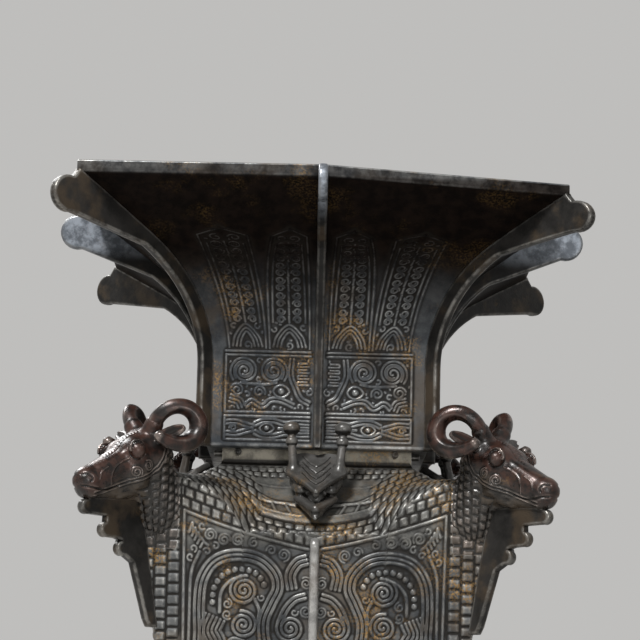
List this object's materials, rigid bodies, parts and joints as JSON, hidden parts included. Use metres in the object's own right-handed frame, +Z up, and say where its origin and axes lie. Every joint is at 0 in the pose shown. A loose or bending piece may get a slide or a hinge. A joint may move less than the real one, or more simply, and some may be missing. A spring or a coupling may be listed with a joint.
{
  "type": "bronze zun wine vessel",
  "caption": "Square bronze wine vessel with a flared mouth, ram foreparts at the belly's corners, beast heads on the shoulder and flanges on every face and corner.",
  "frame": {"origin": "centre of the foot's underside, on the surface that the vessel stands on", "axes": "+Z up along the vessel's axis, -Y out of the front face, +X to the right of that face"},
  "size_m": [0.606, 0.606, 0.6],
  "materials": {
    "bronze": "dark grey-black patina with ochre left in the relief",
    "worn_bronze": "grey-black patina worn brighter along the edges",
    "red_bronze": "red-brown patina, smooth and polished by handling"
  },
  "bodies": {
    "root": {"foot_ring": "bronze", "body": "bronze", "neck": "bronze", "ram_front_right": "red_bronze", "horn_front_right_a": "red_bronze", "horn_front_right_b": "red_bronze", "ram_back_right": "red_bronze", "horn_back_right_a": "red_bronze", "horn_back_right_b": "red_bronze", "ram_back_left": "red_bronze", "horn_back_left_a": "red_bronze", "horn_back_left_b": "red_bronze", "ram_front_left": "red_bronze", "horn_front_left_a": "red_bronze", "horn_front_left_b": "red_bronze", "beast_head_front": "worn_bronze", "beast_head_right": "worn_bronze", "beast_head_back": "worn_bronze", "beast_head_left": "worn_bronze", "neck_flange_front": "worn_bronze", "neck_flange_right": "worn_bronze", "neck_flange_back": "worn_bronze", "neck_flange_left": "worn_bronze", "neck_flange_front_right": "worn_bronze", "neck_flange_back_right": "worn_bronze", "neck_flange_back_left": "worn_bronze", "neck_flange_front_left": "worn_bronze", "belly_flange_front": "worn_bronze", "belly_flange_right": "worn_bronze", "belly_flange_back": "worn_bronze", "belly_flange_left": "worn_bronze", "chest_flange_front_right": "worn_bronze", "chest_flange_back_right": "worn_bronze", "chest_flange_back_left": "worn_bronze", "chest_flange_front_left": "worn_bronze", "foot_flange_front": "worn_bronze", "foot_flange_right": "worn_bronze", "foot_flange_back": "worn_bronze", "foot_flange_left": "worn_bronze", "foot_flange_front_right": "worn_bronze", "foot_flange_back_right": "worn_bronze", "foot_flange_back_left": "worn_bronze", "foot_flange_front_left": "worn_bronze", "rest_pin_front_a": "worn_bronze", "rest_pin_front_b": "worn_bronze", "rest_pin_right_a": "worn_bronze", "rest_pin_right_b": "worn_bronze", "rest_pin_back_a": "worn_bronze", "rest_pin_back_b": "worn_bronze", "rest_pin_left_a": "worn_bronze", "rest_pin_left_b": "worn_bronze"}
  },
  "joints": []
}
